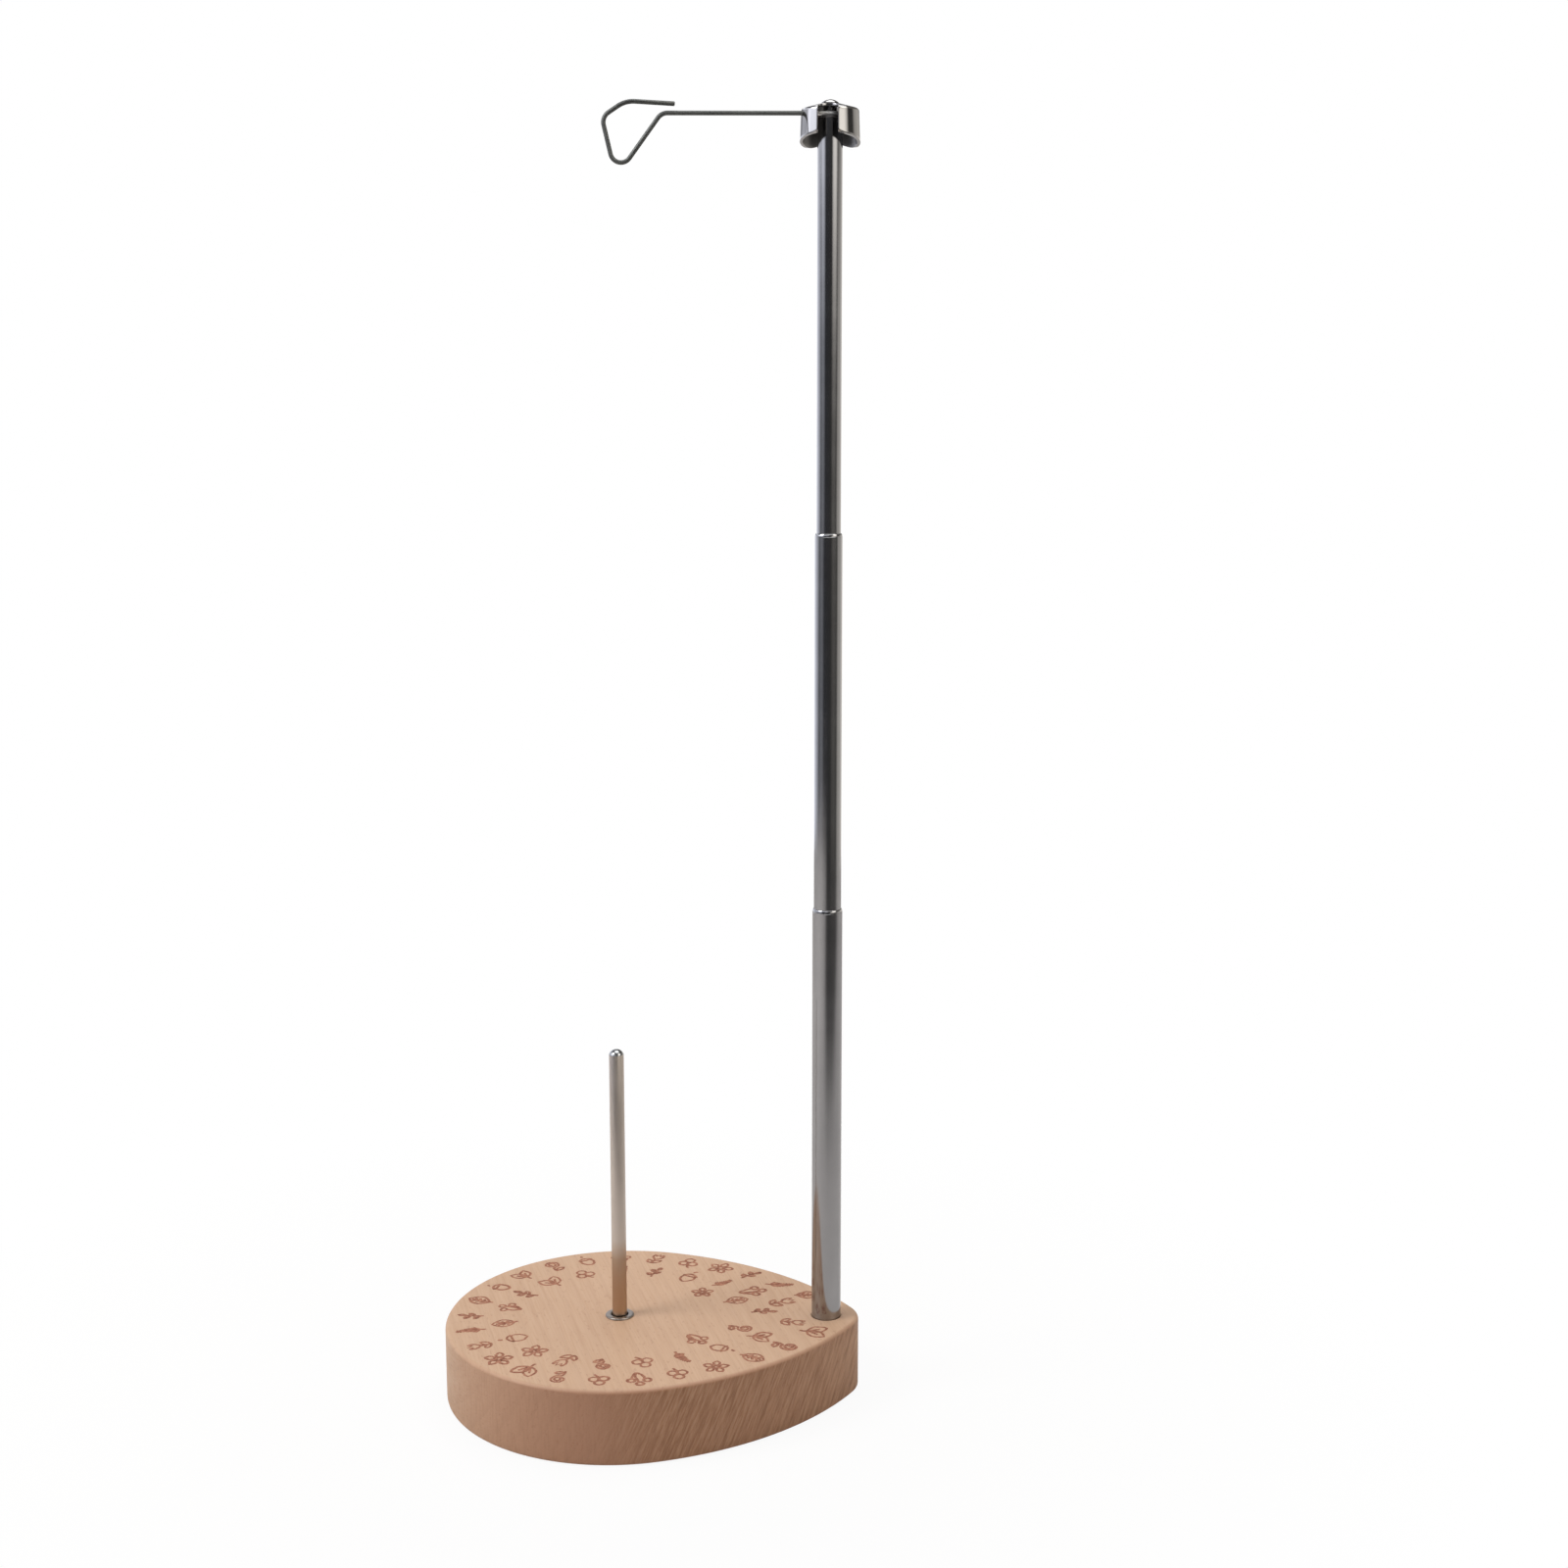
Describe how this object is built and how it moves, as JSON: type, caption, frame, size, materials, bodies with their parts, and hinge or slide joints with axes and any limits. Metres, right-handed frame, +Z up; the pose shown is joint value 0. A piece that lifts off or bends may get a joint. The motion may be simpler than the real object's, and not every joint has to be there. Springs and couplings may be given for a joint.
{
  "type": "spool thread stand",
  "caption": "Egg-shaped wooden base with an upright spool pin and a telescopic steel mast whose swivelling wire arm holds an open thread eye above the spool.",
  "frame": {"origin": "on the underside of the base, below the axis of the spool pin", "axes": "+Z up along the spool pin, +X from the spool pin to the mast"},
  "size_m": [0.1275, 0.107, 0.3862],
  "materials": {
    "beech": "sanded beech with a thin clear oil, satin",
    "tube_steel": "polished plated steel tube",
    "pin_steel": "satin steel rod, drawn finish",
    "cap_steel": "polished pressed sheet steel",
    "wire_steel": "dark spring steel wire, dull",
    "fastener_steel": "bright zinc-plated steel",
    "brass": "plain turned brass"
  },
  "bodies": {
    "base": {"base_block": "beech", "spool_pin": "pin_steel", "pin_insert": "fastener_steel", "lower_tube": "tube_steel", "mast_foot_plug": "brass", "mast_screw": "fastener_steel", "mast_washer": "fastener_steel"},
    "middle_section": {"middle_tube": "tube_steel", "middle_foot_bush": "brass", "middle_shim_front": "brass", "middle_shim_back": "brass"},
    "upper_section": {"upper_tube": "tube_steel", "upper_foot_bush": "brass", "upper_shim_front": "brass", "upper_shim_back": "brass", "tip_plug": "brass", "cap_rivet": "cap_steel", "bearing_washer": "fastener_steel"},
    "guide": {"guide_cap": "cap_steel", "thread_guide": "wire_steel"}
  },
  "joints": [
    {"name": "middle_slide", "type": "slide", "parent": "base", "child": "middle_section", "axis": [0, 0, 1], "range_m": [-0.1105, 0]},
    {"name": "upper_slide", "type": "slide", "parent": "middle_section", "child": "upper_section", "axis": [0, 0, 1], "range_m": [-0.0975, 0]},
    {"name": "guide_swivel", "type": "hinge", "parent": "upper_section", "child": "guide", "pos_m": [0.064, 0, 0.3829], "axis": [0, 0, 1], "continuous": true}
  ]
}
